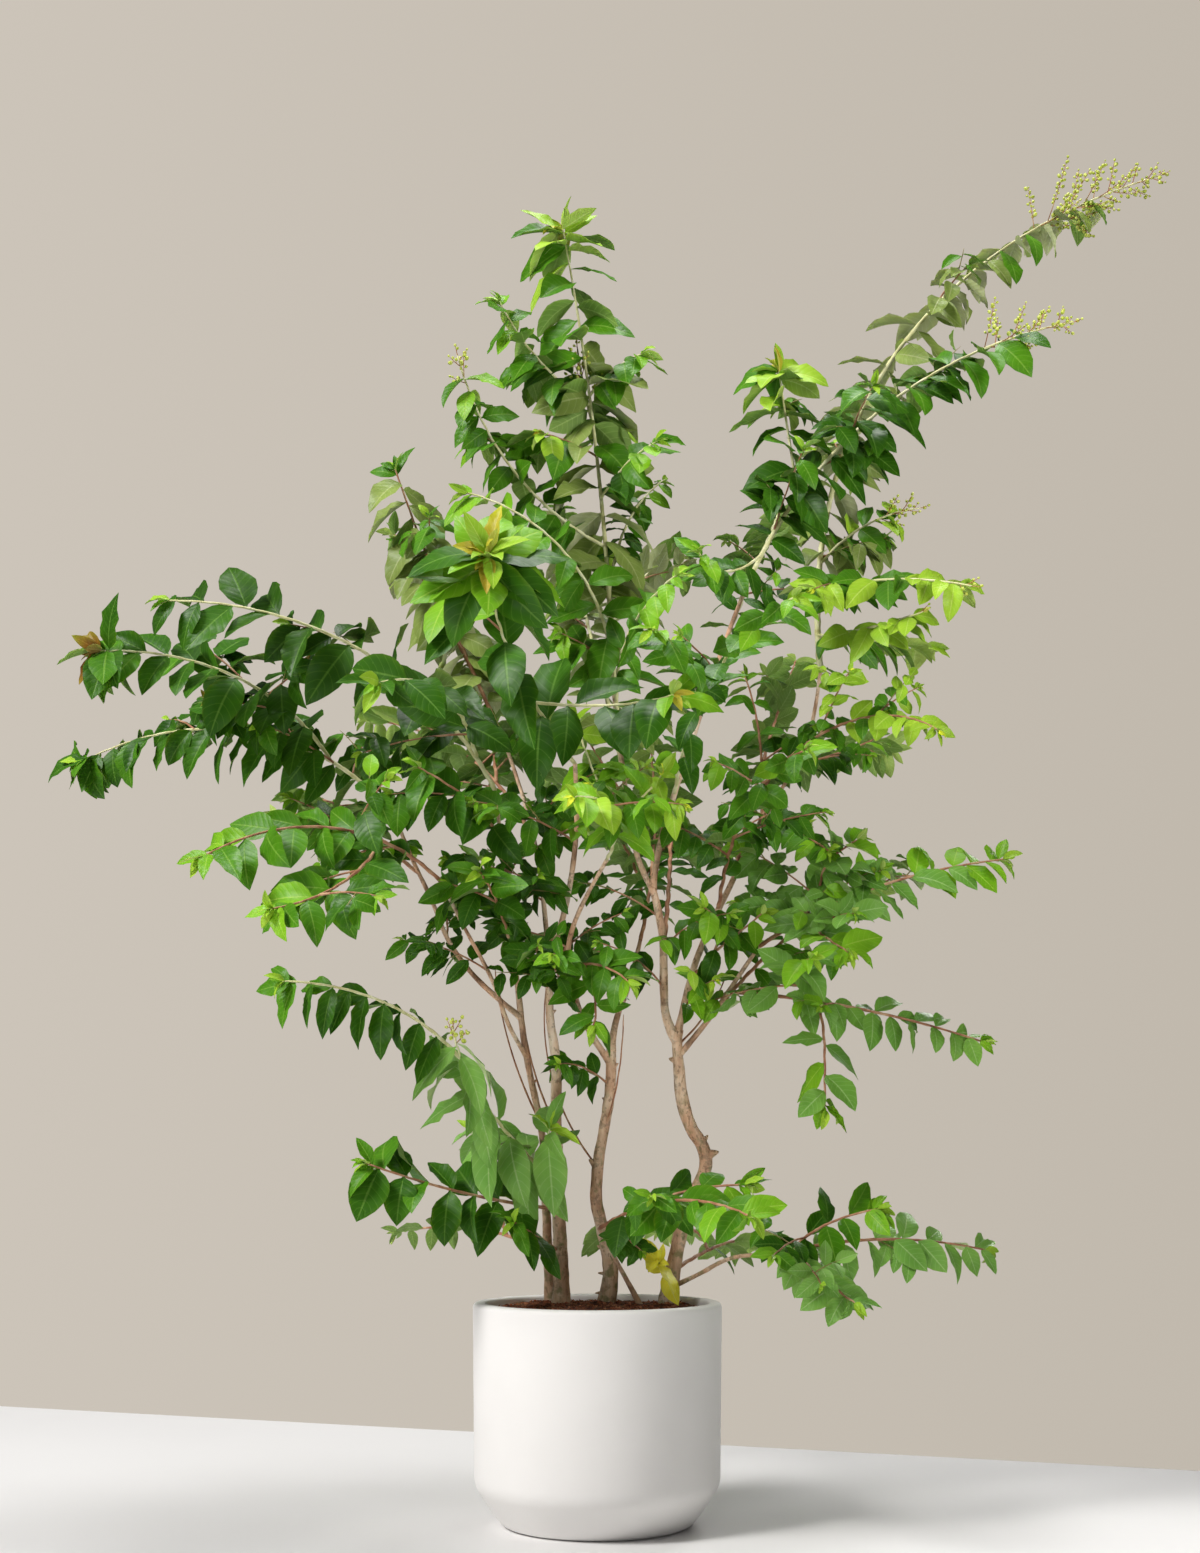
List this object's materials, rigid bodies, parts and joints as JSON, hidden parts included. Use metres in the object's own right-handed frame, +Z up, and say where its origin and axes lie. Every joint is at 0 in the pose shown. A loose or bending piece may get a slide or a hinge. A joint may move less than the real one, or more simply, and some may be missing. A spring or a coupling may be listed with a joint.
{
  "type": "potted crape myrtle tree",
  "caption": "Multi-stemmed crape myrtle tree with bare lower stems, open arching leafy sprays and budding shoot tips, growing in a round pot.",
  "frame": {"origin": "centre of the pot's flat underside", "axes": "+Z up; +X to the right and -Y towards the viewer, as the plant is seen from its front"},
  "size_m": [1.4361, 0.84, 1.6905],
  "materials": {
    "pot": "matt white",
    "soil": "rough bark chips",
    "bark": "smooth, mottled",
    "leaves": "slightly glossy",
    "young_leaves": "slightly glossy"
  },
  "bodies": {
    "root": {"pot": "pot", "soil": "soil", "stem_left": "bark", "stem_rear": "bark", "stem_centre": "bark", "stem_right": "bark", "stem_low": "bark", "bough_left": "bark", "bough_left_thin": "bark", "bough_left_up": "bark", "bough_front": "bark", "bough_left_back": "bark", "bough_centre_left": "bark", "bough_centre_right": "bark", "bough_leader": "bark", "bough_leader_centre": "bark", "bough_leader_right": "bark", "bough_right_mid": "bark", "bough_right_fork": "bark", "bough_right": "bark", "bough_right_low": "bark", "foliage_left_upper": "leaves", "foliage_left_lower": "leaves", "foliage_left_arch": "leaves", "foliage_left_mid": "leaves", "foliage_left_inner": "leaves", "foliage_left_high": "leaves", "foliage_front": "leaves", "foliage_top": "leaves", "foliage_upper_front": "leaves", "foliage_centre_front": "young_leaves", "foliage_centre_low": "leaves", "foliage_centre_back": "leaves", "foliage_right_tall": "leaves", "foliage_right_far": "leaves", "foliage_right_mid": "leaves", "foliage_right_inner": "leaves", "foliage_right": "leaves", "foliage_right_lower": "leaves", "foliage_low_right": "leaves", "foliage_low_front": "leaves", "foliage_low_left": "leaves", "foliage_lower_left": "leaves", "foliage_foot_left": "leaves", "foliage_foot_right": "young_leaves", "foliage_back_low_left": "leaves", "foliage_back_low_centre": "leaves", "foliage_back_low_right": "leaves", "foliage_back_left": "leaves", "foliage_back_left_far": "leaves", "foliage_back_centre": "leaves", "foliage_back_top": "leaves", "foliage_back_right": "leaves", "foliage_back_right_top": "leaves", "foliage_back_right_far": "leaves", "foliage_front_right": "leaves", "foliage_front_low_right": "leaves"}
  },
  "joints": []
}
